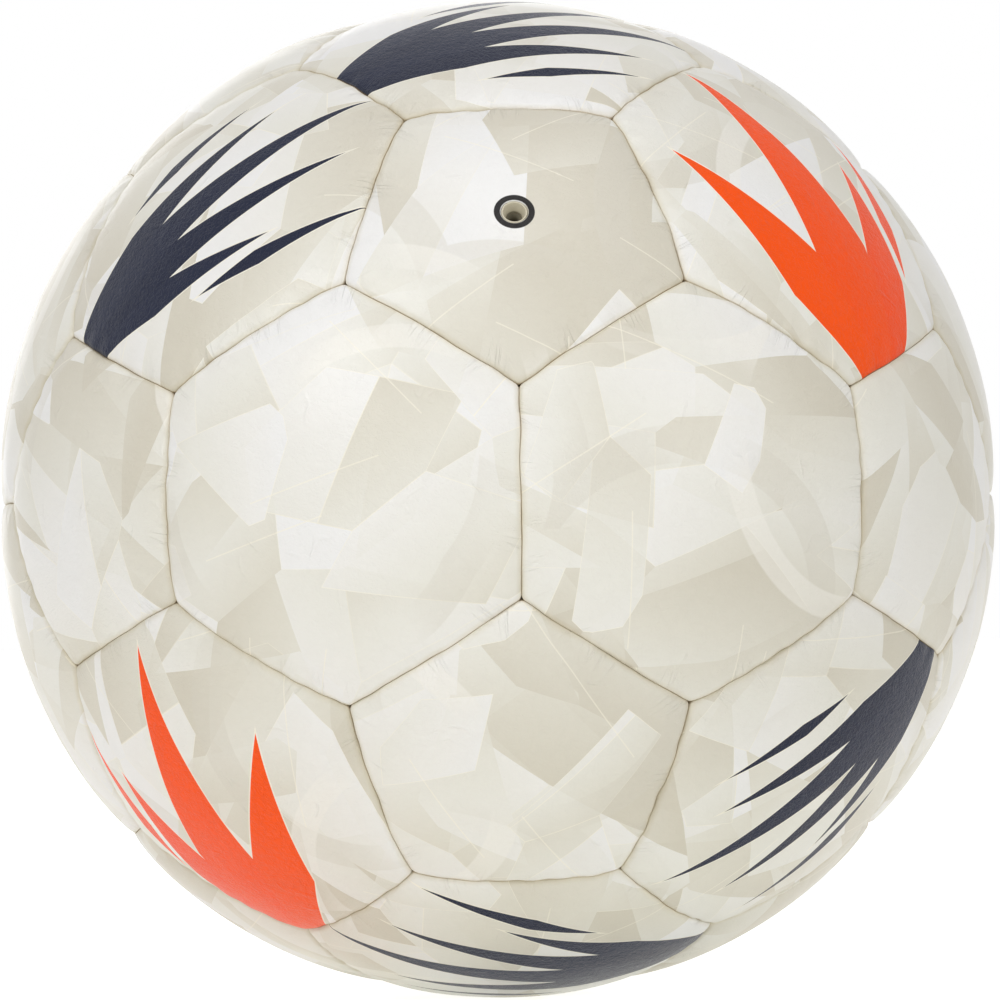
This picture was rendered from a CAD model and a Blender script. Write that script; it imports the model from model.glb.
import math
import bpy
import numpy as np
from mathutils import Matrix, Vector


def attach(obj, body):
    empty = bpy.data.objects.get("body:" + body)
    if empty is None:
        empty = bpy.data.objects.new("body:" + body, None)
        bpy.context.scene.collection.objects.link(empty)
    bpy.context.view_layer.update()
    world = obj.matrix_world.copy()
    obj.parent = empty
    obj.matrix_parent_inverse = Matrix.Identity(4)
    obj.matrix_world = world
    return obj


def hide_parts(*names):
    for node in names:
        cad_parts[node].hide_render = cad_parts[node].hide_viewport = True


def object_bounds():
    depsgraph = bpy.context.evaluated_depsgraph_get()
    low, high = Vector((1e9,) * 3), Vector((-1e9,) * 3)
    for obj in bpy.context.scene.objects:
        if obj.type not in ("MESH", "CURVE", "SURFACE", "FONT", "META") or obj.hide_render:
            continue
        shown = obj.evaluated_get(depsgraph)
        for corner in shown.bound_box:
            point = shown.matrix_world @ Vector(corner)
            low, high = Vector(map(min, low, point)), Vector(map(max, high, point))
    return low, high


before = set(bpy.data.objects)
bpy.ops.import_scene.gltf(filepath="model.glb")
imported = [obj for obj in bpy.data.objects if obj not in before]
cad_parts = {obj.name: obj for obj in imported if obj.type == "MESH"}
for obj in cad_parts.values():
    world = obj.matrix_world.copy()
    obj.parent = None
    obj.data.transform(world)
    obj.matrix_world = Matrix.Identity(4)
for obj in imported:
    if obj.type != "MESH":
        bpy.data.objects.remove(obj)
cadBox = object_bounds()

mm = 0.001
join = np.concatenate

ball = {
    "radius": 550 / (2 * math.pi), "crownDrop": 0.55, "seamGap": 0.1,  # millimetres
    "skin": 1.1, "foam": 2.8, "lining": 1.2, "layerGap": 0.05, "threadRoom": 1.1,
}
ball["cover"] = ball["skin"] + ball["foam"] + ball["lining"] + 3 * ball["layerGap"]
ball["bladder"] = ball["radius"] - ball["cover"]
ball["flangeEnd"] = ball["bladder"] + ball["layerGap"]


def unit(v):
    return v / np.linalg.norm(v, axis=-1, keepdims=True)


def angleBetween(a, b):
    return math.acos(float(np.dot(unit(a), unit(b))))


# an icosahedron's corners give the pentagons, its faces the hexagons
golden = (1 + 5 ** 0.5) / 2
corners = np.array([
    v for s in (-1, 1) for t in (-1, 1)
    for v in ((0, s * golden, t), (t, 0, s * golden), (s * golden, t, 0))
], dtype=float)
joined = [[0 < np.linalg.norm(a - b) < 1 + golden for b in corners] for a in corners]
faces = [
    (i, j, k) for i in range(12) for j in range(i + 1, 12) for k in range(j + 1, 12)
    if joined[i][j] and joined[i][k] and joined[j][k]
]
valveCorner = 3


def basisFor(axis, toward):
    # columns are the panel's own x, y and z: z along its axis, x leaning to a second direction
    z = unit(axis)
    x = unit(toward - np.dot(toward, z) * z)
    return np.stack([x, np.cross(z, x), z], axis=1)


firstFace = faces[0]
firstVertices = [unit(2 * corners[firstFace[0]] + corners[k]) for k in firstFace[1:]]
seamMiddle = firstVertices[0] + firstVertices[1]
tiltOf = {5: angleBetween(corners[firstFace[0]], seamMiddle),
          6: angleBetween(corners[list(firstFace)].sum(0), seamMiddle)}

panels = []
for number, face in enumerate(faces):
    axis = corners[list(face)].sum(0)
    panels.append({"node": f"hexagon_panel_{number + 1:02d}", "sides": 6, "axis": unit(axis),
                   "basis": basisFor(axis, corners[face[0]])})
for number, axis in enumerate(corners):
    face = next(f for f in faces if number in f)
    name = "valve_panel" if number == valveCorner else f"pentagon_panel_{number + 1:02d}"
    panels.append({"node": name, "sides": 5, "axis": unit(axis),
                   "basis": basisFor(axis, corners[list(face)].sum(0))})
print("panels laid out:", len(panels))


relief = {  # millimetres, from a seam inwards or down from the crown
    "roll": 1.0,  # tight bend of the skin into a seam
    "rollShare": 0.62,  # height of the bend over its width
    "touch": 0.01,  # half of the gap that the rolled edges leave
    "cornerRound": 1.3,  # radius of a panel's corners, which leaves the pits
    "pillow": 0.55,  # how far the padding lets the skin fall towards a seam
    "pillowReach": 2.9,
    "uneven": 0.16,  # slow unevenness of the crowns
    "pucker": 0.3,  # pull of each stitch on the rolled edge, most where the noise is high
    "puckerReach": 2.6,
    "stitches": 7,
    "pit": 0.3,  # extra depth where three panels meet
    "pitIn": 1.8,
    "pitAlong": 2.2,
    "calmEnds": 3,  # stretch before a corner in which puckers and tight stretches end
    "seamSway": 0.2,  # how far a seam strays from its great circle
    "swayReach": 7,
    "swayEnds": 6,
    "tight": 0.32,  # rise of the rolled edges where a seam is pulled tight
    "tightReach": 0.3,
    "perSide": 42,
    "perCorner": 5,
}
waves = {"pull": (16, 8), "uneven": (19, 11), "sway": (11, 5), "tight": (13, 21)}  # pitch, seed


def planeWaves(points, pitch, seed, count=7):
    # sum of sines along random directions, with a mean wavelength of pitch, from -1 to 1
    rng = np.random.RandomState(seed)
    directions = unit(rng.normal(size=(count, 3)))
    rates = 2 * math.pi / (pitch * rng.uniform(0.75, 1.5, count))
    phases = rng.uniform(0, 2 * math.pi, count)
    return np.sin(points @ (directions * rates[:, None]).T + phases).sum(-1) / count ** 0.5 / 1.6


def smooth(x):
    x = np.clip(x, 0, 1)
    return x * x * (3 - 2 * x)


def bell(x):
    return np.exp(-x ** 2)


def outlineOf(sides, perSide, perCorner, rounding):
    # a polygon with rounded corners, where the panel's seam planes cut the plane z = 1: each side
    # runs straight, then turns on an arc
    tilt = tiltOf[sides]
    inner = math.tan(tilt)
    turn = 2 * math.pi / sides
    arc = rounding / ball["radius"]
    half = (inner - arc) * math.tan(turn / 2)
    full = inner * math.tan(turn / 2)
    along = np.linspace(-half, half, perSide)
    theta = np.linspace(0, turn, perCorner + 2)[1:-1]
    local = join([
        np.stack([np.full(perSide, inner), along], 1),
        np.stack([inner - arc + arc * np.cos(theta), half + arc * np.sin(theta)], 1)])
    offset = join([along, np.full(perCorner, full)])
    travel = join([along + half, 2 * half + arc * theta])
    lap = 2 * half + arc * turn
    points, side, place, run = [], [], [], []
    for k in range(sides):
        c, s = math.cos(k * turn), math.sin(k * turn)
        points.append(local @ np.array([[c, s], [-s, c]]))
        side.append(np.full(len(local), k))
        place.append(offset)
        run.append(travel + k * lap)
    return {
        "points": join(points), "side": join(side),
        "place": join(place) * ball["radius"], "half": full * ball["radius"],
        "run": join(run) * ball["radius"], "lap": lap * sides * ball["radius"],
    }


def crownRadius(sides, directions):
    # distance from the ball's centre to the panel's crown, a sphere moved out along the axis
    tilt, top = tiltOf[sides], ball["radius"]
    low = top - ball["crownDrop"]
    shift = (top ** 2 - low ** 2) / (2 * (top - low * math.cos(tilt)))
    z = directions[..., 2]
    return shift * z + np.sqrt((top - shift) ** 2 - shift ** 2 * (1 - z ** 2))


def panelSurface(panel, inset, depth, base, outline, sagShare):
    # rows of the outline drawn in by inset from the seams, each at depth under the crown, or
    # under a sphere of radius base where one is given
    sides, basis = panel["sides"], panel["basis"]
    tilt = tiltOf[sides]
    scale = np.tan(tilt - inset / ball["radius"]) / math.tan(tilt)
    roundness = smooth((0.5 - scale) / 0.4)[:, None, None]
    ring = unit(outline["points"]) * math.tan(tilt)
    flat = (outline["points"] * (1 - roundness) + ring * roundness) * scale[:, None, None]
    directions = unit(join([flat, np.ones(flat.shape[:2] + (1,))], 2))
    world = directions @ basis.T
    radius = np.where(np.isnan(base)[:, None], crownRadius(sides, directions), base[:, None])
    # the sag is one function of the place on the ball, so neighbours and layers keep together
    cornerway = outline["half"] - np.abs(outline["place"])
    fromSeam = np.maximum(inset, 0)[:, None]
    pitch = 2 * outline["half"] / relief["stitches"]
    pull = 0.5 + 0.5 * np.cos(2 * math.pi * outline["place"] / pitch)
    spots = world * ball["radius"]
    pull = pull * (0.55 + 0.45 * planeWaves(spots, *waves["pull"]))
    calm = smooth(cornerway / relief["calmEnds"])
    tight = smooth(0.5 + 0.9 * planeWaves(spots, *waves["tight"])) * calm
    sag = (relief["pillow"] * np.exp(-fromSeam / relief["pillowReach"])
           - relief["tight"] * bell(fromSeam / relief["tightReach"]) * tight
           + relief["uneven"] * (0.5 - 0.5 * planeWaves(spots, *waves["uneven"]))
           + relief["pucker"] * bell(fromSeam / relief["puckerReach"]) * pull * calm
           + relief["pit"] * np.exp(-(fromSeam / relief["pitIn"]) ** 2
                                    - (cornerway / relief["pitAlong"]) ** 2))
    radius = radius - depth[:, None] - sag * sagShare[:, None]
    points = world * radius[..., None]
    # sway of the seam, from noise at the seam itself, with a sign that both panels share
    turn = outline["side"] * 2 * math.pi / sides
    normals = np.stack([np.cos(turn) * math.cos(tilt), np.sin(turn) * math.cos(tilt),
                        np.full(len(turn), -math.sin(tilt))], 1) @ basis.T
    seamPoints = unit(join([outline["points"], np.ones((len(turn), 1))], 1)) @ basis.T
    sign = np.sign(normals @ np.array([0.31, 0.53, 0.79]))
    sway = planeWaves(seamPoints * ball["radius"], *waves["sway"]) * relief["seamSway"] * sign
    sway = sway * smooth(cornerway / relief["swayEnds"])
    points = points + normals[None] * (sway[None] * bell(fromSeam / relief["swayReach"]))[..., None]
    return points * mm, flat * ball["radius"], world


def gridArrays(points, wrapRows, capped):
    # points and faces of a grid whose columns close into rings; rows may close too, or end in poles
    rows, columns = points.shape[:2]
    index = np.arange(rows * columns).reshape(rows, columns)
    upper = index if wrapRows else index[:-1]
    lower = np.roll(index, -1, 0) if wrapRows else index[1:]
    following = [np.roll(lower, -1, 1), np.roll(upper, -1, 1)]
    quads = np.stack([upper, lower, *following], -1).reshape(-1, 4)
    vertices = points.reshape(-1, 3)
    fans = np.zeros((0, 3), int)
    if capped:
        poles = np.stack([points[0].mean(0), points[-1].mean(0)])
        first, last = len(vertices), len(vertices) + 1
        vertices = join([vertices, poles])
        ends = [(index[0], first, False), (index[-1], last, True)]
        fans = join([
            np.stack([np.full(columns, pole), np.roll(ring, -1) if flip else ring,
                      ring if flip else np.roll(ring, -1)], -1) for ring, pole, flip in ends])
    loops = join([quads.ravel(), fans.ravel()])
    starts = join([np.arange(len(quads)) * 4, len(quads) * 4 + np.arange(len(fans)) * 3])
    return vertices, loops, starts, len(quads)


def meshOf(name, vertices, loops, starts):
    mesh = bpy.data.meshes.new(name)
    mesh.vertices.add(len(vertices))
    mesh.vertices.foreach_set("co", vertices.astype(np.float32).ravel())
    mesh.loops.add(len(loops))
    mesh.loops.foreach_set("vertex_index", loops.astype(np.int32))
    mesh.polygons.add(len(starts))
    mesh.polygons.foreach_set("loop_start", starts.astype(np.int32))
    mesh.polygons.foreach_set("use_smooth", np.ones(len(starts), bool))
    mesh.update(calc_edges=True)
    mesh.validate()
    return mesh


def newObject(name, data):
    made = bpy.data.objects.new(name, data)
    bpy.context.scene.collection.objects.link(made)
    return made


def place(mesh, name, body, slot, replaced, materials):
    piece = newObject(name, mesh)
    for material in materials:
        mesh.materials.append(material)
    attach(piece, body)
    if replaced:
        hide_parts(*replaced)
    return piece


def pointAttribute(mesh, name, values):
    attribute = mesh.attributes.new(name, "FLOAT_VECTOR", "POINT")
    attribute.data.foreach_set("vector", values.astype(np.float32).ravel())


def loopMap(mesh, name, values):
    layer = mesh.uv_layers.new(name=name)
    layer.data.foreach_set("uv", values.astype(np.float32).ravel())


def srgb(r, g, b):
    def one(c):
        c = c / 255
        return c / 12.92 if c <= 0.04045 else ((c + 0.055) / 1.055) ** 2.4
    return (one(r), one(g), one(b), 1.0)


def add(tree, kind, ins=None, **settings):
    made = tree.nodes.new("ShaderNode" + kind)
    for key, value in settings.items():
        setattr(made, key, value)
    for key, value in (ins or {}).items():
        if isinstance(value, bpy.types.NodeSocket):
            tree.links.new(value, made.inputs[key])
        else:
            made.inputs[key].default_value = value
    return made


def maths(tree, operation, a, b=0.0, c=0.0, clamp=False):
    return add(tree, "Math", {0: a, 1: b, 2: c}, operation=operation, use_clamp=clamp).outputs[0]


def times(tree, a, b):
    return maths(tree, "MULTIPLY", a, b)


def plus(tree, a, b):
    return maths(tree, "ADD", a, b)


def minus(tree, a, b):
    return maths(tree, "SUBTRACT", a, b)


def scaled(tree, value, factor, start):
    return maths(tree, "MULTIPLY_ADD", value, factor, start)


def ramp(tree, value, low, high, outLow=0.0, outHigh=1.0):
    return add(tree, "MapRange", {0: value, 1: low, 2: high, 3: outLow, 4: outHigh},
               interpolation_type="SMOOTHSTEP").outputs[0]


def mix(tree, factor, a, b, blend="MIX"):
    return add(tree, "Mix", {0: factor, 6: a, 7: b}, data_type="RGBA", blend_type=blend).outputs[2]


def blended(tree, factor, a, b):
    return add(tree, "Mix", {0: factor, 2: a, 3: b}, data_type="FLOAT").outputs[0]


def turned(tree, vector, angle, scale=(1, 1, 1), shift=(0, 0, 0)):
    return add(tree, "Mapping", {0: vector, 1: shift, 2: (0, 0, angle), 3: scale}).outputs[0]


def noise(tree, vector, scale, detail=2.0, distortion=0.0, **settings):
    return add(tree, "TexNoise", {"Vector": vector, "Scale": scale, "Detail": detail,
                                  "Distortion": distortion}, **settings).outputs[0]


def newGroup(name, ins):
    # an input without a value is a vector, the others are floats
    tree = bpy.data.node_groups.new(name, "ShaderNodeTree")
    for title, value in ins.items():
        kind = "NodeSocketVector" if value is None else "NodeSocketFloat"
        socket = tree.interface.new_socket(title, in_out="INPUT", socket_type=kind)
        if value is not None:
            socket.default_value = value
    return tree, tree.nodes.new("NodeGroupInput").outputs


def finishGroup(tree, outs):
    # an output called Color is a colour, the others are floats
    for title in outs:
        kind = "NodeSocketColor" if title == "Color" else "NodeSocketFloat"
        tree.interface.new_socket(title, in_out="OUTPUT", socket_type=kind)
    result = tree.nodes.new("NodeGroupOutput").inputs
    for title, value in outs.items():
        tree.links.new(value, result[title])
    return tree


def useGroup(tree, group, ins):
    return add(tree, "Group", ins, node_tree=group).outputs


def newMaterial(name):
    material = bpy.data.materials.new(name)
    material.use_nodes = True
    tree = material.node_tree
    tree.nodes.clear()
    shader = add(tree, "BsdfPrincipled")
    add(tree, "OutputMaterial", {0: shader.outputs[0]})
    return material, tree, shader.inputs, add(tree, "TexCoord").outputs["Object"]


def finishShader(tree, shader, colour, rough, height, distance):
    # colour, roughness, and a bump that raises a height of 1 by the distance, in metres
    bump = add(tree, "Bump", {"Strength": 1.0, "Distance": distance, "Height": height})
    for name, value in (("Base Color", colour), ("Roughness", rough), ("Normal", bump.outputs[0])):
        tree.links.new(value, shader[name])


def dot(tree, vector, direction):
    return add(tree, "VectorMath", {0: vector, 1: direction},
               operation="DOT_PRODUCT").outputs["Value"]


def partsOf(tree, vector):
    return add(tree, "SeparateXYZ", {0: vector}).outputs


def alongRandom(tree, vector, value, scale):
    # distance along a direction that a random value from 0 to 1 gives, in cells
    angle = times(tree, value, 2 * math.pi)
    heading = add(tree, "CombineXYZ", {0: maths(tree, "COSINE", angle),
                                       1: maths(tree, "SINE", angle)})
    return times(tree, dot(tree, vector, heading.outputs[0]), scale)


def seenDirectly(tree):
    # 1 for rays from the camera, also off a mirror or through glass
    rays = add(tree, "LightPath").outputs
    bounced = plus(tree, rays["Is Glossy Ray"], rays["Is Transmission Ray"])
    return maths(tree, "ADD", rays["Is Camera Ray"], bounced, clamp=True)


pattern = {  # shares of a cell, of the cells, or of a noise's range
    "cutOff": 0.12, "halfTurn": 0.31, "halfTone": 7.31, "lined": 0.5, "bothHalves": 0.6,
    "lineRoom": 0.1, "lineSpread": 0.8, "stagger": 9.7, "undrawn": 0.83,
    "arcSoft": 0.004, "arcThin": (0.42, 0.62), "wrinkle": 0.09, "streak": 0.06, "fold": 0.045,
    "dusty": (0.36, 0.62), "creased": (0.46, 0.66), "folded": (0.63, 0.75),
}


def facets():
    # the cells of a straight-edged mosaic, each cut in two by a random line: each half has its own
    # even tone, which fades along another random line, and some edges have a thin pale line
    tree, given = newGroup("facets", {
        "Vector": None, "Scale": 0.5, "Fade": 0.4, "Line Width": 0.012, "Share": 1.0})
    where = {"Vector": given["Vector"], "Scale": given["Scale"]}
    cell = add(tree, "TexVoronoi", where, voronoi_dimensions="2D").outputs
    edge = add(tree, "TexVoronoi", where, voronoi_dimensions="2D",
               feature="DISTANCE_TO_EDGE").outputs["Distance"]
    chance = add(tree, "SeparateColor", {0: cell["Color"]}).outputs
    away = add(tree, "VectorMath", {0: given["Vector"], 1: cell["Position"]},
               operation="SUBTRACT").outputs[0]
    cut = plus(tree, alongRandom(tree, away, chance[0], given["Scale"]), pattern["cutOff"])
    half = maths(tree, "GREATER_THAN", cut, 0.0)
    turn = plus(tree, chance[1], times(tree, half, pattern["halfTurn"]))
    fading = alongRandom(tree, away, turn, given["Scale"])
    other = maths(tree, "FRACT", times(tree, chance[2], pattern["halfTone"]))
    even = plus(tree, times(tree, chance[1], minus(tree, 1.0, half)), times(tree, other, half))
    tone = scaled(tree, fading, given["Fade"], even)
    width = times(tree, given["Line Width"], given["Scale"])
    near = maths(tree, "MINIMUM", edge, maths(tree, "ABSOLUTE", cut))
    drawn = times(tree, maths(tree, "LESS_THAN", near, width),
                  maths(tree, "GREATER_THAN", other, pattern["lined"]))
    either = plus(tree, half, maths(tree, "GREATER_THAN", chance[0], pattern["bothHalves"]))
    shown = times(tree, maths(tree, "LESS_THAN", chance[2], given["Share"]),
                  maths(tree, "GREATER_THAN", either, 0.5))
    shown = maths(tree, "MAXIMUM", shown, maths(tree, "GREATER_THAN", given["Share"], 0.99))
    return finishGroup(tree, {"Tone": tone, "Line": drawn, "Shown": shown})


def printTone():
    # the row of pale shades that a tone from 0 to 1 picks
    tree, given = newGroup("printTone", {"Tone": 0.5})
    shades = add(tree, "ValToRGB", {0: given["Tone"]})
    stops = shades.color_ramp.elements
    for k in range(1, len(printShades) - 1):
        stops.new(printShades[k][0])
    for stop, (position, paint) in zip(stops, printShades):
        stop.position = position
        stop.color = srgb(*paint)
    return finishGroup(tree, {"Color": shades.outputs["Color"]})


def ruledField(name, angle, shift):
    # in each stripe of a ruled field one thin straight line at a random place, of which random
    # stretches are drawn
    tree, given = newGroup(name, {"Vector": None, "Pitch": 1.6, "Stretch": 2.4, "Width": 0.012})
    field = turned(tree, given["Vector"], angle, shift=shift)
    parts = partsOf(tree, field)
    rank = maths(tree, "DIVIDE", parts[0], given["Pitch"])
    stripe = maths(tree, "FLOOR", rank)
    chance = add(tree, "TexWhiteNoise", {"W": stripe}, noise_dimensions="1D").outputs["Value"]
    middle = scaled(tree, chance, pattern["lineSpread"], pattern["lineRoom"])
    off = maths(tree, "ABSOLUTE", minus(tree, maths(tree, "FRACT", rank), middle))
    line = maths(tree, "LESS_THAN", times(tree, off, given["Pitch"]), given["Width"])
    stretch = maths(tree, "DIVIDE", parts[1], given["Stretch"])
    rung = scaled(tree, chance, pattern["stagger"], stretch)
    spot = add(tree, "CombineXYZ", {0: stripe, 1: maths(tree, "FLOOR", rung)}).outputs[0]
    drawn = add(tree, "TexWhiteNoise", {"Vector": spot}, noise_dimensions="2D").outputs["Value"]
    shown = maths(tree, "GREATER_THAN", drawn, pattern["undrawn"])
    return finishGroup(tree, {"Line": times(tree, line, shown)})


def arcBands():
    # wide translucent arcs of circles, each kept within its own large cell
    tree, given = newGroup("arcBands", {
        "Vector": None, "Scale": 0.16, "Radius": 0.42, "Width": 0.06})
    far = add(tree, "TexVoronoi", {"Vector": given["Vector"], "Scale": given["Scale"]},
              voronoi_dimensions="2D").outputs["Distance"]
    ringway = maths(tree, "ABSOLUTE", minus(tree, far, given["Radius"]))
    depthIn = minus(tree, given["Width"], ringway)
    inBand = maths(tree, "DIVIDE", depthIn, pattern["arcSoft"], clamp=True)
    thinning = noise(tree, given["Vector"], 0.3, 0.0, noise_dimensions="2D")
    band = times(tree, inBand, ramp(tree, thinning, *pattern["arcThin"]))
    return finishGroup(tree, {"Band": band})


def middleLines(tree, value, width):
    # 1 where a noise passes its middle, fading to 0 at the width to both sides
    return ramp(tree, maths(tree, "ABSOLUTE", minus(tree, value, 0.5)), 0.0, width, 1.0, 0.0)


def leatherGrain():
    # small rounded pebbles over a soft unevenness, with a few finer wrinkles
    tree, given = newGroup("leatherGrain", {"Vector": None, "Scale": 1500.0})
    pebble = add(tree, "TexVoronoi", {"Vector": given["Vector"], "Scale": given["Scale"]},
                 feature="SMOOTH_F1").outputs["Distance"]
    bumps = noise(tree, given["Vector"], times(tree, given["Scale"], 0.35), 3.0)
    wrinkles = noise(tree, given["Vector"], times(tree, given["Scale"], 0.55), 2.0, 1.2)
    height = plus(tree, times(tree, pebble, -0.5), bumps)
    height = scaled(tree, middleLines(tree, wrinkles, pattern["wrinkle"]), -0.35, height)
    return finishGroup(tree, {"Height": height, "Tone": bumps})


def seamWear():
    # near a seam the roll is dark with dust, then tinted, both in patches
    tree, given = newGroup("seamWear", {"Place": None, "Vector": None})
    onRoll = partsOf(tree, given["Place"])[2]
    reach = scaled(tree, noise(tree, given["Vector"], 160.0, 3.0), 0.7, 0.65)
    strength = ramp(tree, noise(tree, given["Vector"], 55.0, 1.0), *pattern["dusty"], 0.3)
    way = maths(tree, "DIVIDE", onRoll, reach)
    dirt = ramp(tree, way, 0.1, 0.6, 1.0, 0.0)
    tint = ramp(tree, way, 0.2, 1.8, 1.0, 0.0)
    return finishGroup(tree, {"Dirt": times(tree, dirt, strength), "Tint": tint})


def seamCreases():
    # fine creases square to the seam, from the run along it, in groups that fade into the panel
    tree, given = newGroup("seamCreases", {"Map": None})
    streaks = noise(tree, turned(tree, given["Map"], 0, (1, 0.13, 1)), 7.0, 2.0, 0.4,
                    noise_dimensions="2D")
    depthIn = partsOf(tree, given["Map"])[1]
    fade = ramp(tree, depthIn, 0.06, 0.62, 1.0, 0.0)
    slower = turned(tree, given["Map"], 0, (1, 0.4, 1))
    groups = noise(tree, slower, 1.1, 1.0, noise_dimensions="2D")
    creased = times(tree, middleLines(tree, streaks, pattern["streak"]),
                    ramp(tree, groups, *pattern["creased"]))
    return finishGroup(tree, {"Height": times(tree, creased, fade)})


def skinFolds():
    # short curved folds where a noise passes its middle, in a few patches only
    tree, given = newGroup("skinFolds", {"Vector": None, "Scale": 120.0})
    path = noise(tree, given["Vector"], given["Scale"], 1.0, 0.6)
    patch = noise(tree, given["Vector"], times(tree, given["Scale"], 1.4), 0.0)
    folded = times(tree, middleLines(tree, path, pattern["fold"]),
                   ramp(tree, patch, *pattern["folded"]))
    return finishGroup(tree, {"Height": folded})


printShades = [(0.0, (215, 211, 198)), (0.3, (226, 224, 214)), (0.55, (234, 234, 228)),
               (0.8, (239, 239, 237)), (1.0, (240, 241, 242))]
facetGroup, toneGroup, arcGroup = facets(), printTone(), arcBands()
ruledGroups = [ruledField("linesUp", 0.35, (3, 1, 0)), ruledField("linesAcross", 1.45, (1, 7, 0)),
               ruledField("linesDown", 2.5, (6, 2, 0))]
grainGroup, wearGroup = leatherGrain(), seamWear()
creaseGroup, foldGroup = seamCreases(), skinFolds()

skinLook = {paint: srgb(*values) for paint, values in {
    "brightPearl": (244, 243, 238), "grey": (217, 214, 204), "lineCream": (248, 245, 232),
    "seamTint": (226, 214, 182), "dirt": (178, 152, 108), "ringBlack": (20, 18, 17),
    "orange": (254, 80, 4), "orangeLight": (255, 93, 12),
    "navy": (26, 32, 54), "navyLight": (36, 42, 64)}.items()}


def needle(origin, turn, length, half, shoulder):
    # corners of a long kite, from its root, with its shoulders part of the way to the tip
    c, s = math.cos(math.radians(turn)), math.sin(math.radians(turn))
    kite = [(0, 0), (shoulder, -half), (length, 0), (shoulder, half)]
    return [(origin[0] + x * c - y * s, origin[1] + x * s + y * c) for x, y in kite]


def insideOf(tree, place, shape):
    # distance inside the nearest edge of a convex shape, in centimetres on the panel
    nearest = None
    for k, (x0, y0) in enumerate(shape):
        x1, y1 = shape[(k + 1) % len(shape)]
        length = math.hypot(x1 - x0, y1 - y0)
        nx, ny = -(y1 - y0) / length, (x1 - x0) / length
        inside = minus(tree, dot(tree, place, (nx, ny, 0)), nx * x0 + ny * y0)
        nearest = inside if nearest is None else maths(tree, "MINIMUM", nearest, inside)
    return nearest


needleEdge = {"soft": 0.006, "line": (-0.036, -0.026), "sides": 0.5}  # centimetres, and tone


def needleFan(name, needles):
    # a fan of long needles from one root, each with a lighter and a darker side
    tree, given = newGroup(name, {"Place": None})
    union, tone, soft = -9.0, 0.0, needleEdge["soft"]
    for root, turn, length, half, shoulder, shade in needles:
        shape = needle(root, turn, length, half, shoulder)
        inside = insideOf(tree, given["Place"], shape)
        side = insideOf(tree, given["Place"], shape[::2])
        shade = scaled(tree, maths(tree, "GREATER_THAN", side, 0.0), needleEdge["sides"], shade)
        tone = blended(tree, ramp(tree, inside, -soft, soft), tone, shade)
        union = maths(tree, "MAXIMUM", union, inside)
    return finishGroup(tree, {
        "Mask": ramp(tree, union, -soft, soft), "Edge": ramp(tree, union, *needleEdge["line"]),
        "Tone": tone})


accentGroups = {  # root, turn in degrees, length, half width, place of the shoulders and tone
    "orange": needleFan("orangeNeedles", [
        ((0, 0), -21, 6.6, 0.60, 3.8, 0.0), ((0, 0), 16, 7.8, 0.70, 4.0, 0.5),
        ((0, 0), -3, 9.4, 0.82, 4.3, 0.3), ((3.4, -2.15), -20, 3.8, 0.24, 1.3, 0.0)]),
    "navy": needleFan("navyNeedles", [
        ((0, 0), -13, 8.6, 0.42, 4.4, 0.0), ((0, 0), 14, 7.2, 0.38, 4.0, 0.5),
        ((0, 0), 5, 9.4, 0.44, 4.4, 0.1), ((0, 0), -4, 10.6, 0.46, 4.8, 0.4),
        ((4.9, 1.9), 9, 4.4, 0.20, 1.6, 0.2), ((4.4, -2.05), -12, 3.6, 0.18, 1.4, 0.0)]),
}


printLayers = [  # angle, stretch, shift, scale, fade, line width, share and strength over the last
    (0.3, (1, 0.66, 1), (3, 1, 0), 0.46, 0.55, 0.011, 1.0, 1.0),
    (1.9, (1, 0.58, 1), (9, 2, 0), 0.34, 0.80, 0.010, 0.45, 0.85),
    (1.1, (1, 0.52, 1), (7, 4, 0), 0.52, 0.50, 0.010, 0.40, 0.9),
    (2.6, (0.6, 1, 1), (1, 9, 0), 0.74, 0.45, 0.008, 0.24, 0.85),
]
printBands = [  # scale, radius, width, colour and strength
    (0.15, 0.44, 0.05, "grey", 0.4), (0.12, 0.36, 0.03, "brightPearl", 0.55)]
skinGloss = {
    "rough": 0.34, "inkRough": -0.06, "grainRough": 0.12, "dirtRough": 0.4,
    "coat": 0.16, "inkCoat": -0.11, "ringCoat": -0.16, "coatRough": 0.2,
    "specular": 0.2, "accentSpecular": 0.15,
}
skinBump = {  # scales of the patterns, their heights, and the distance in metres of a height of 1
    "grainScale": 1500.0, "foldScale": 120.0, "grain": 1.1, "inkGrain": 1.1, "creases": -1.25,
    "folds": 1.3, "distance": 0.00006,
}
valveRing = {"inner": 0.235, "outer": 0.337, "soft": 0.005}  # centimetres from the valve's axis


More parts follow.
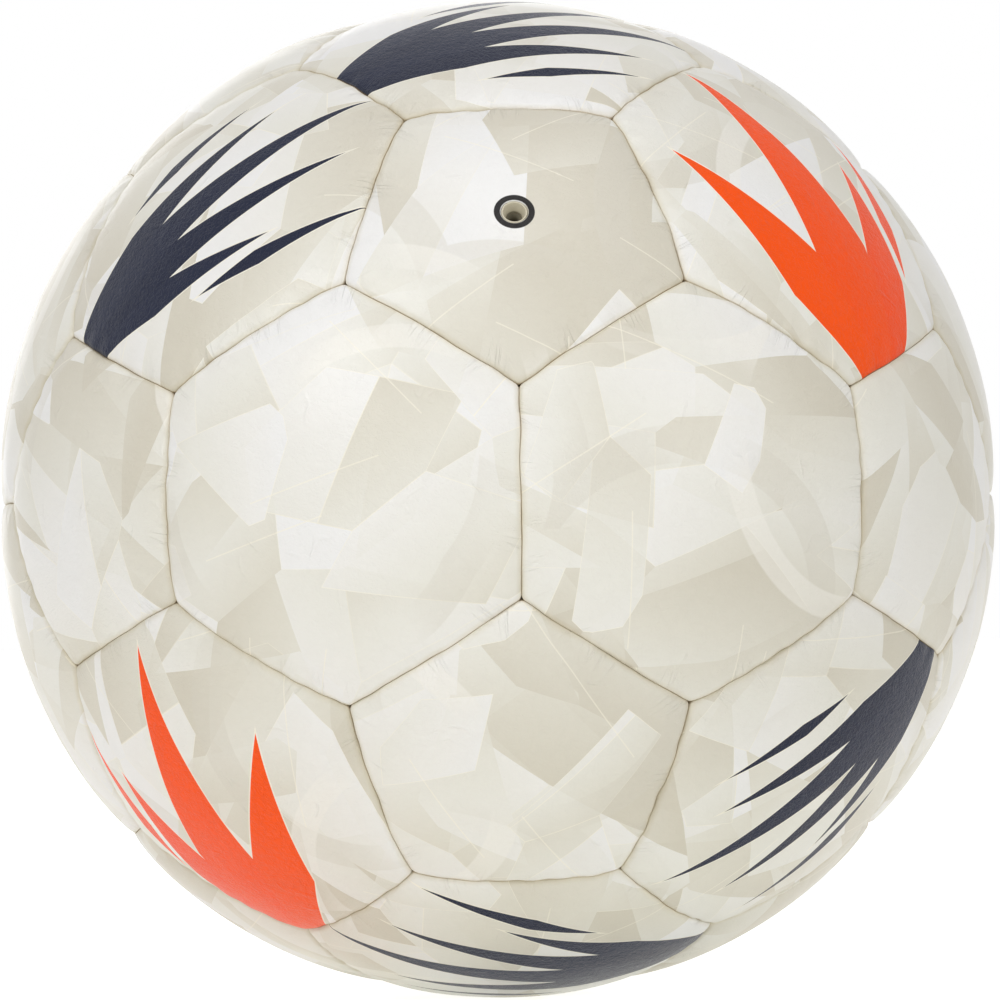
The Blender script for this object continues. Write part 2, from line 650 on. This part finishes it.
def skinMaterial(name, accent=None, ringed=False):
    material, tree, skin, thing = newMaterial(name)
    printed = add(tree, "UVMap", uv_map="printMap").outputs[0]
    edges = add(tree, "UVMap", uv_map="edgeMap").outputs[0]
    here = add(tree, "Attribute", attribute_name="panelPlace",
               attribute_type="GEOMETRY").outputs["Vector"]
    tone = line = 0.0
    for angle, stretch, shift, scale, fade, width, share, strength in printLayers:
        layer = useGroup(tree, facetGroup, {
            "Vector": turned(tree, printed, angle, stretch, shift), "Scale": scale, "Fade": fade,
            "Line Width": width, "Share": share})
        tone = blended(tree, times(tree, layer["Shown"], strength), tone, layer["Tone"])
        line = blended(tree, layer["Shown"], times(tree, line, 0.8), layer["Line"])
    colour = useGroup(tree, toneGroup, {"Tone": tone})["Color"]

    def over(mask, strength, paint, blend="MIX"):
        # the colour so far with another over it, where a mask is set
        return mix(tree, times(tree, mask, strength), colour, skinLook[paint], blend)

    colour = over(line, 0.6, "lineCream")
    for scale, radius, width, paint, strength in printBands:
        colour = over(useGroup(tree, arcGroup, {
            "Vector": printed, "Scale": scale, "Radius": radius, "Width": width})["Band"],
            strength, paint)
    for ruled in ruledGroups:
        colour = over(useGroup(tree, ruled, {"Vector": printed})["Line"], 0.5, "lineCream")
    rough, coarse, ink = skinGloss["rough"], skinBump["grain"], None
    if accent:
        design = add(tree, "UVMap", uv_map="accentMap").outputs[0]
        fan = useGroup(tree, accentGroups[accent], {"Place": design})
        ink = fan["Mask"]
        colour = over(fan["Edge"], 0.75, "lineCream")
        paint = mix(tree, fan["Tone"], skinLook[accent], skinLook[accent + "Light"])
        colour = mix(tree, ink, colour, paint)
        rough = scaled(tree, ink, skinGloss["inkRough"], rough)
        coarse = scaled(tree, ink, skinBump["inkGrain"], coarse)
    if ringed:  # round the valve's hole
        spot = add(tree, "VectorMath", {0: here, 1: (1, 1, 0)}, operation="MULTIPLY").outputs[0]
        out = add(tree, "VectorMath", {0: spot}, operation="LENGTH").outputs["Value"]
        inner, outer, soft = valveRing["inner"], valveRing["outer"], valveRing["soft"]
        ink = times(tree, ramp(tree, out, outer - soft, outer + soft, 1.0, 0.0),
                    ramp(tree, out, inner - soft, inner + soft))
        colour = mix(tree, ink, colour, skinLook["ringBlack"])
    wear = useGroup(tree, wearGroup, {"Place": here, "Vector": thing})
    colour = over(wear["Tint"], 0.4, "seamTint", "MULTIPLY")
    colour = over(wear["Dirt"], 0.6, "dirt")
    grain = useGroup(tree, grainGroup, {"Vector": thing, "Scale": skinBump["grainScale"]})
    creases = useGroup(tree, creaseGroup, {"Map": edges})["Height"]
    folds = useGroup(tree, foldGroup, {"Vector": thing, "Scale": skinBump["foldScale"]})["Height"]
    height = plus(tree, times(tree, grain["Height"], coarse),
                  times(tree, creases, skinBump["creases"]))
    height = scaled(tree, folds, skinBump["folds"], height)
    rough = scaled(tree, grain["Tone"], skinGloss["grainRough"], rough)
    rough = scaled(tree, wear["Dirt"], skinGloss["dirtRough"], rough)
    finishShader(tree, skin, colour, rough, height, skinBump["distance"])
    skin["Coat Weight"].default_value = skinGloss["coat"]
    skin["Coat Roughness"].default_value = skinGloss["coatRough"]
    skin["Specular IOR Level"].default_value = skinGloss["accentSpecular" if accent else "specular"]
    if ink is not None:  # the dark and bright inks are less glossy
        less = skinGloss["inkCoat" if accent else "ringCoat"]
        tree.links.new(scaled(tree, ink, less, skinGloss["coat"]), skin["Coat Weight"])
    return material


skinMaterials = {
    "plain": skinMaterial("pearlPrint"),
    "valve": skinMaterial("pearlPrintValve", ringed=True),
    "orange": skinMaterial("pearlPrintOrange", "orange"),
    "navy": skinMaterial("pearlPrintNavy", "navy"),
}


def weaveMaterial(name, light, dark, pitch):
    # plain weave: crossed sine waves, one for each direction
    material, tree, cloth, thing = newMaterial(name)
    rate = 2 * math.pi / pitch
    parts = partsOf(tree, thing)
    x, y, z = [maths(tree, "SINE", times(tree, part, rate)) for part in parts]
    woven = times(tree, times(tree, x, y), z)
    fuzz = noise(tree, thing, 900.0, 4.0)
    height = plus(tree, woven, fuzz)
    colour = mix(tree, ramp(tree, height, -0.4, 1.4), dark, light)
    finishShader(tree, cloth, colour, scaled(tree, fuzz, 0.2, 0.75), height, 0.00012)
    return material


def foamMaterial(name, light, dark):
    # closed cells: rounded bubbles of two sizes
    material, tree, foam, thing = newMaterial(name)
    small, large = [add(tree, "TexVoronoi", {"Vector": thing, "Scale": scale},
                        feature="SMOOTH_F1").outputs[0] for scale in (1400.0, 500.0)]
    height = plus(tree, small, times(tree, large, 0.6))
    colour = mix(tree, ramp(tree, height, 0.3, 1.1), dark, light)
    finishShader(tree, foam, colour, scaled(tree, small, 0.15, 0.7), height, 0.00015)
    return material


def rubberMaterial(name, light, dark, roughness, dust):
    # moulded rubber: fine mould texture, slow mottling and a bloom of dust
    material, tree, rubber, thing = newMaterial(name)
    fine, slow = noise(tree, thing, 2600.0, 3.0), noise(tree, thing, 120.0, 4.0)
    colour = mix(tree, ramp(tree, slow, 0.3, 0.7), dark, light)
    finishShader(tree, rubber, colour, scaled(tree, slow, dust, roughness), fine, 0.00002)
    return material


def threadMaterial(name):
    # waxed twist: a wave across the thread, and wax in patches
    material, tree, thread, thing = newMaterial(name)
    wave = {"Vector": thing, "Scale": 420.0, "Distortion": 1.5}
    twist = add(tree, "TexWave", wave).outputs["Fac"]
    colour = mix(tree, twist, srgb(58, 54, 48), srgb(112, 106, 96))
    wax = scaled(tree, noise(tree, thing, 700.0), 0.3, 0.35)
    finishShader(tree, thread, colour, wax, twist, 0.00008)
    return material


backing = weaveMaterial("skinBacking", srgb(226, 220, 204), srgb(178, 170, 150), 0.0011)
liningCloth = weaveMaterial("liningWeave", srgb(222, 210, 184), srgb(160, 146, 118), 0.0014)
padFoam = foamMaterial("padFoam", srgb(238, 238, 232), srgb(196, 196, 188))
valveRubber = rubberMaterial("valveRubber", srgb(214, 208, 188), srgb(190, 184, 164), 0.45, 0.2)
coreRubber = rubberMaterial("coreRubber", srgb(150, 145, 128), srgb(118, 112, 98), 0.5, 0.2)
bladderRubber = rubberMaterial("bladderRubber", srgb(62, 56, 52), srgb(38, 34, 32), 0.5, 0.25)
waxedThread = threadMaterial("waxedThread")
print("materials made")


outlines = {sides: outlineOf(sides, relief["perSide"], relief["perCorner"], relief["cornerRound"])
            for sides in (5, 6)}


skinShape = {  # millimetres; the crown's rows crowd towards the roll by a power
    "pole": 0.35, "crownRows": 24, "crowding": 0.72, "rollRows": 14, "wallRows": 4, "endRound": 0.2,
    "insideDrop": 0.7, "bend": 0.06, "bendRows": 6, "lip": 0.22, "lipRows": 5,
    "sagFrom": 1.6, "sagFade": 3,  # depth from which the sag fades out, and over how much
    "farOff": 50, "poleAway": 9, "printShift": 40,  # centimetres on the maps
}


def skinRows(sides, hole):
    # the profile of the skin from the middle of the crown over the roll, down the turned-in edge,
    # and back along the inside: inset from the seam, depth, and the way from the seam's touch
    shape, edge, roll, skin = skinShape, relief["touch"], relief["roll"], ball["skin"]
    middle = tiltOf[sides] * ball["radius"]
    end = hole if hole else shape["pole"]
    crowd = np.linspace(0, 1, shape["crownRows"]) ** shape["crowding"]
    crown = middle - end - (middle - end - edge - roll) * crowd
    phi = np.linspace(0, math.pi / 2, shape["rollRows"])[1:]
    rollIn = edge + roll * (1 - np.sin(phi))
    drop = roll * relief["rollShare"]
    rollDepth = drop * (1 - np.cos(phi))
    bottom = ball["radius"] - ball["flangeEnd"]
    blunt, rows, bend = shape["endRound"], shape["wallRows"], shape["bend"]
    wall = np.linspace(drop, bottom - blunt, rows + 1)[1:]
    psi = np.linspace(math.pi / 2, 0, shape["bendRows"])
    inside = np.linspace(bottom - blunt, skin + shape["insideDrop"], rows)
    inset = join([
        crown, rollIn, np.full(rows, edge), [edge + blunt, edge + skin - blunt],
        np.full(rows, edge + skin), edge + skin + bend - bend * np.sin(psi), crown[::-1][1:]])
    depth = join([
        np.zeros(len(crown)), rollDepth, wall, [bottom, bottom], inside,
        skin + bend - bend * np.cos(psi), np.full(len(crown) - 1, skin)])
    touch = join([
        roll * math.pi / 2 + crown - edge - roll, roll * (math.pi / 2 - phi),
        np.zeros(len(inset) - len(crown) - len(phi))])
    outside = len(crown) + len(phi)
    if hole:  # the rim of the hole has a small round, outside and inside
        lip, rows = shape["lip"], shape["lipRows"]
        turnIn = np.linspace(0, math.pi / 2, rows)
        rim = middle - hole - lip + lip * np.sin(turnIn)
        rimDepth = lip - lip * np.cos(turnIn)
        inset = join([[middle - hole], rim[::-1], inset[1:-1], [middle - hole]])
        depth = join([[skin / 2], rimDepth[::-1], depth[1:-1], [skin]])
        touch = join([np.full(rows + 1, shape["farOff"]), touch[1:-1], [0]])
        outside += rows
    return inset, depth, touch, outside


accents = [  # the panel's direction, colour, the way the needles run, their root, size and side
    ((1, -1, 1), "orange", (-0.4, 0.1, 1), (-4.9, 0.3), 0.87, 1),
    ((-1, -1, -1), "orange", (0.25, 0.2, 1), (-5.0, -0.3), 0.85, -1),
    ((-1, -1, 1), "navy", (1, 0, 0.45), (-4.8, 0.4), 0.78, -1),
    ((0, -0.357, 0.934), "navy", (1, 0.5, 0), (-4.9, -0.5), 0.80, 1),
    ((1, -1, -1), "navy", (-1, 0.2, -0.35), (-4.7, 0.2), 0.74, 1),
    ((0, -0.357, -0.934), "navy", (-1, -0.3, 0), (-4.9, 0.4), 0.80, -1),
    ((1, 1, -1), "orange", (-0.8, 0.3, 0.5), (-4.8, 0.2), 0.78, -1),
    ((-1, 1, 1), "orange", (0.2, 0.3, -1), (-5.0, 0.4), 0.80, 1),
    ((1, 1, 1), "navy", (1, -0.5, 0.3), (-4.8, -0.3), 0.76, 1),
    ((-1, 1, -1), "navy", (0.3, 0, 1), (-5.0, 0.3), 0.80, -1),
]


def accentOf(panel):
    for accent in accents:
        if np.dot(panel["axis"], unit(np.array(accent[0]))) > 0.99:
            return accent
    return None


def accentPlace(panel, accent, flat):
    # the panel's own plane, turned so that x runs the accent's way, from the accent's root
    heading = panel["basis"].T @ np.array(accent[2], float)
    x = unit(heading[:2])
    y = np.array([-x[1], x[0]]) * accent[5]
    return (np.stack([flat @ x, flat @ y], 1) - np.array(accent[3])) / accent[4]


valve = {"hole": 2.25, "room": 0.1}
draws = np.random.RandomState(4)
for panel in panels:
    sides, outline = panel["sides"], outlines[panel["sides"]]
    hole = valve["hole"] if panel["node"] == "valve_panel" else 0
    inset, depth, touch, outside = skinRows(sides, hole)
    nothing = np.full(len(inset), np.nan)
    fadeOut = np.clip(1 - (depth - skinShape["sagFrom"]) / skinShape["sagFade"], 0, 1)
    points, flat, world = panelSurface(panel, inset, depth, nothing, outline, fadeOut)
    name = "".join(part.capitalize() for part in panel["node"].split("_"))
    vertices, loops, starts, quadCount = gridArrays(points, bool(hole), not hole)
    mesh = meshOf(name[0].lower() + name[1:], vertices, loops, starts)
    shape = flat.shape[:2]
    rolled = np.broadcast_to(touch[:, None, None], shape + (1,))
    here = join([flat / 10, rolled], 2).reshape(-1, 3)
    run = np.broadcast_to(outline["run"] / 10, shape).ravel()
    away = np.broadcast_to(inset[:, None] / 10, shape).ravel()
    if not hole:  # the two poles
        here = join([here, [[0, 0, skinShape["farOff"]], [0, 0, 0]]])
        run = join([run, [0, 0]])
        away = join([away, [skinShape["poleAway"]] * 2])
    pointAttribute(mesh, "panelPlace", here)
    turn = draws.uniform(0, 2 * math.pi)
    shift = draws.uniform(-skinShape["printShift"], skinShape["printShift"], 2)
    c, s = math.cos(turn), math.sin(turn)
    printed = here[:, :2] @ np.array([[c, s], [-s, c]]) + shift
    loopMap(mesh, "printMap", printed[loops])
    edgeMap = np.stack([run[loops], away[loops]], 1)
    number, columns = np.arange(len(loops)), shape[1]
    wrapped = (loops % columns == 0) & (number % 4 >= 2) & (number < quadCount * 4)
    edgeMap[wrapped, 0] += outline["lap"] / 10
    loopMap(mesh, "edgeMap", edgeMap)
    accent = accentOf(panel)
    if accent:
        loopMap(mesh, "accentMap", accentPlace(panel, accent, here[:, :2])[loops])
    finish = "valve" if hole else accent[1] if accent else "plain"
    place(mesh, mesh.name, "root", "panel_skin", [panel["node"]], [skinMaterials[finish], backing])
    insideFrom = (outside + skinShape["wallRows"]) * columns
    insideFace = np.arange(len(mesh.polygons)) >= insideFrom
    insideFace[quadCount:] = False
    if not hole:
        insideFace[quadCount + columns:] = True
    mesh.polygons.foreach_set("material_index", insideFace.astype(np.int32))
print("skins made")


laminate = {  # millimetres
    "perSide": 11, "perCorner": 3, "cornerRound": 1.5, "edgeRound": 0.45, "edgeRows": 4,
    "pole": 1.0, "crownRows": 9, "crowding": 0.8, "padHole": 5.1, "liningHole": 14.1,
}
laminateOutlines = {
    sides: outlineOf(sides, laminate["perSide"], laminate["perCorner"], laminate["cornerRound"])
    for sides in (5, 6)}


def joinGrids(name, grids, capped):
    # several closed grids in one mesh, each with its own share of the vertices
    vertices, loops, starts = [], [], []
    points = corners = 0
    for grid, cap in zip(grids, capped):
        made, around, begin, _ = gridArrays(grid, not cap, cap)
        vertices.append(made)
        loops.append(around + points)
        starts.append(begin + corners)
        points += len(made)
        corners += len(around)
    return meshOf(name, join(vertices), join(loops), join(starts))


def laminateLayer(sides, topDepth, topRadius, bottomRadius, hole):
    # a body between two spheres, or the crown and a sphere, with rounded edges
    grids, caps = [], []
    setback = ball["seamGap"] / 2 + ball["skin"] + ball["threadRoom"]
    middle = tiltOf[sides] * ball["radius"]
    bend = laminate["edgeRound"]
    arc = np.linspace(0, math.pi / 2, laminate["edgeRows"])
    crowd = np.linspace(0, 1, laminate["crownRows"]) ** laminate["crowding"]
    for panel in panels:
        if panel["sides"] != sides:
            continue
        cut = hole if panel["node"] == "valve_panel" else 0
        end = cut if cut else laminate["pole"]
        across = middle - end - (middle - end - setback - bend) * crowd
        inset = join([across, setback + bend - bend * np.sin(arc[1:]),
                      (setback + bend - bend * np.sin(arc))[::-1], across[::-1][1:]])
        drop = join([np.zeros(len(across)), bend - bend * np.cos(arc[1:])])
        rise = join([(bend - bend * np.cos(arc))[::-1], np.zeros(len(across) - 1)])
        upper = len(drop)
        depth = join([drop + topDepth, -rise])
        base = join([np.full(upper, np.nan if topRadius is None else topRadius),
                     np.full(len(rise), bottomRadius)])
        share = join([np.full(upper, float(topRadius is None)), np.zeros(len(rise))])
        grids.append(panelSurface(panel, inset, depth, base, laminateOutlines[sides], share)[0])
        caps.append(not cut)
    return grids, caps


liningTop = ball["flangeEnd"] + ball["lining"]
for sides, shape in ((6, "hexagon"), (5, "pentagon")):
    grids, caps = laminateLayer(sides, ball["skin"] + ball["layerGap"], None,
                                liningTop + ball["layerGap"], laminate["padHole"])
    pads = place(joinGrids(shape + "FoamPads", grids, caps), shape + "FoamPads", "root", "foam",
                 [shape + "_foam_pads"], [padFoam])
    grids, caps = laminateLayer(sides, 0, liningTop, ball["flangeEnd"],
                                laminate["liningHole"])
    place(joinGrids(shape + "Linings", grids, caps), shape + "Linings", "root", "lining",
          [shape + "_linings"], [liningCloth])
print("pads and linings made")


housing = {
    "rimDrop": 0.15, "funnelDepth": 2.1, "throat": 1.3, "funnelWall": 0.3, "leadIn": 1.0,
    "needleLength": 13, "coreTip": 3, "endWall": 1.2, "stem": 4.4, "boss": 5.0, "core": 2.6,
    "patch": 14, "patchThick": 1.0, "airHole": 1.0, "tipShare": 0.6, "segments": 96,
    "barbs": 3, "barbOut": 0.4, "barbHeight": 1.6, "barbPitch": 3.6, "round": 0.12,
    "skinRoom": 0.22, "bossRoom": 0.15, "patchEdge": 0.4, "patchRows": 10, "lipRows": 9,
    "funnel": ((1.72, 0.70), (1.55, 0.42), (1.40, 0.18)),  # radius, and share of the depth
}


def housingProfile():
    h = housing
    gap = ball["layerGap"]
    rim = ball["radius"] - h["rimDrop"] - relief["uneven"] * 0.5
    coreTop = ball["radius"] - h["rimDrop"] - h["funnelDepth"]
    coreBottom = coreTop - h["leadIn"] - h["needleLength"] - h["coreTip"]
    bottom = coreBottom - h["endWall"]
    under, over = ball["bladder"] + gap, ball["bladder"] + gap + h["patchThick"]
    bossTop = ball["radius"] - ball["skin"] - gap - h["skinRoom"] - h["bossRoom"]
    nipple = valve["hole"] - valve["room"]
    dish = np.linspace(h["stem"], h["patch"], h["patchRows"])
    back = np.linspace(h["patch"] - h["patchEdge"], h["boss"], h["patchRows"])
    arc = np.linspace(0, math.pi, h["lipRows"])
    bend, lip, core = h["round"], h["funnelWall"] / 2, h["core"] + gap
    tip = h["stem"] * h["tipShare"]
    points = [(h["airHole"], bottom), (tip - 0.5, bottom), (tip + 0.1, bottom + bend),
              (h["stem"] - bend, bottom + tip - 0.2), (h["stem"], bottom + tip + 0.3)]
    points += [(r, math.sqrt(under ** 2 - r ** 2)) for r in dish]
    points += [(h["patch"], math.sqrt(over ** 2 - h["patch"] ** 2) - h["patchEdge"])]
    points += [(r, math.sqrt(over ** 2 - r ** 2)) for r in back]
    points += [(h["boss"], bossTop - bend), (h["boss"] - bend, bossTop), (nipple + bend, bossTop),
               (nipple, bossTop + bend), (nipple, rim - lip)]
    points += [(nipple - lip + lip * math.cos(a), rim - lip + lip * math.sin(a)) for a in arc[1:]]
    points += [(r, coreTop + h["funnelDepth"] * t) for r, t in h["funnel"]]
    points += [(h["throat"], coreTop + 0.02), (core - bend, coreTop), (core, coreTop - bend)]
    for k in range(h["barbs"], 0, -1):
        z = coreBottom + k * h["barbPitch"]
        wide = h["core"] + h["barbOut"] + gap
        points += [(core, z + h["barbHeight"] + gap), (wide, z + h["barbHeight"] + gap),
                   (wide, z + h["barbHeight"] * h["tipShare"]), (core, z - gap)]
    taper = h["core"] * h["tipShare"]
    points += [(core, coreBottom + taper), (taper + gap, coreBottom - gap),
               (h["airHole"], coreBottom - gap)]
    return np.array(points)


def revolve(profile, basis, segments):
    # each point of the profile (radius, height) goes once round the axis
    turn = np.linspace(0, 2 * math.pi, segments, endpoint=False)
    r, z = profile[:, :1], profile[:, 1:]
    local = np.stack([r * np.cos(turn), r * np.sin(turn), z + 0 * turn], -1)
    return local @ basis.T * mm


valveBasis = next(p["basis"] for p in panels if p["node"] == "valve_panel")
profile = housingProfile()[::-1]
grid = gridArrays(revolve(profile, valveBasis, housing["segments"]), True, False)
mesh = meshOf("valveHousing", *grid[:3])
place(mesh, "valveHousing", "root", "valve_housing", ["valve_housing"], [valveRubber])
print("valve made")

for node, material in {
        "hexagon_seam_threads": waxedThread, "pentagon_seam_threads": waxedThread,
        "bladder": bladderRubber, "valve_core": coreRubber}.items():
    for slot in bpy.data.objects[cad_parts[node].name].material_slots:
        slot.material = material
print("inner nodes finished")


stage = {  # size in metres, colours and strengths
    "floorSize": 12.0, "background": 1.0, "floorSeen": 0.74, "floorGlow": 0.23, "world": 0.28,
    "floorDark": srgb(236, 236, 235), "floorLight": srgb(240, 240, 239), "floorRough": 0.9,
    "glowHue": srgb(255, 253, 234), "worldHue": srgb(255, 247, 239), "white": (1, 1, 1, 1),
}


def buildStage():
    low = cadBox[0][2]
    half = stage["floorSize"] / 2
    mesh = bpy.data.meshes.new("floor")
    square = [(-half, -half, low), (half, -half, low), (half, half, low), (-half, half, low)]
    mesh.from_pydata(square, [], [(0, 1, 2, 3)])
    floor = newObject("floor", mesh)
    material, tree, paint, thing = newMaterial("floorPaint")
    speck = mix(tree, noise(tree, thing, 40.0, 3.0), stage["floorDark"], stage["floorLight"])
    tree.links.new(speck, paint["Base Color"])
    paint["Roughness"].default_value = stage["floorRough"]
    seen = seenDirectly(tree)
    hue = mix(tree, seen, stage["glowHue"], stage["white"])
    level = blended(tree, seen, stage["floorGlow"], stage["floorSeen"])
    glow = add(tree, "Emission", {0: hue, 1: level})
    both = add(tree, "AddShader", {0: tree.nodes["Principled BSDF"].outputs[0], 1: glow.outputs[0]})
    tree.links.new(both.outputs[0], tree.nodes["Material Output"].inputs[0])
    mesh.materials.append(material)


lamps = [  # name, place, size and power, each aimed at the ball
    ("keyLamp", (-0.95, -1.15, 0.85), 0.7, 9.4),
    ("sideLamp", (1.05, -1.25, 0.45), 0.7, 5.2),
    ("topLamp", (0.1, -0.5, 1.4), 0.7, 5.2),
    ("backLamp", (-0.2, 1.6, 0.3), 0.9, 3.8),
]


def buildLight():
    for name, spot, size, power in lamps:
        data = bpy.data.lights.new(name, "AREA")
        data.shape = "SQUARE"
        data.size = size
        data.energy = power
        basis = basisFor(np.array(spot), np.array([0.01, 0.02, 1.0]))
        newObject(name, data).matrix_world = Matrix(
            [[*basis[k], spot[k]] for k in range(3)] + [[0, 0, 0, 1]])
    world = bpy.data.worlds.new("studio")
    bpy.context.scene.world = world
    world.use_nodes = True
    tree = world.node_tree
    tree.nodes.clear()
    seen = seenDirectly(tree)
    light = add(tree, "Background", {0: stage["worldHue"], 1: stage["world"]})
    white = add(tree, "Background", {0: stage["white"], 1: stage["background"]})
    both = add(tree, "MixShader", {0: seen, 1: light.outputs[0], 2: white.outputs[0]})
    add(tree, "OutputWorld", {0: both.outputs[0]})


view = {  # the ball stays upright, and the camera takes its small tilts
    "distance": 12.0, "azimuth": 2.51, "elevation": -0.81, "roll": -0.66,  # distance in radii
    "circle": 500.5, "middle": (497.7, 499.6), "image": 1000,  # pixels of the ball's outline
}


def turnAbout(axis, degrees):
    return Matrix.Rotation(math.radians(degrees), 3, axis)


def buildCamera():
    data = bpy.data.cameras.new("camera")
    data.sensor_width = 36
    reach = view["circle"] * math.sqrt(view["distance"] ** 2 - 1)
    data.lens = reach / view["image"] * data.sensor_width
    data.shift_x = (view["image"] / 2 - view["middle"][0]) / view["image"]
    data.shift_y = (view["middle"][1] - view["image"] / 2) / view["image"]
    turn = turnAbout("Y", view["roll"]) @ turnAbout("X", view["elevation"])
    turn = turn @ turnAbout("Z", view["azimuth"])
    back = view["distance"] * ball["radius"] * mm
    pose = turn.inverted().to_4x4() @ Matrix.Translation((0, -back, 0))
    pose = pose @ Matrix.Rotation(math.radians(90), 4, "X")
    camera = newObject("camera", data)
    camera.matrix_world = pose
    data.clip_start = 0.05
    bpy.context.scene.camera = camera


buildStage()
buildLight()
buildCamera()
bpy.context.scene.view_settings.view_transform = "Standard"
print("stage, light and camera made")
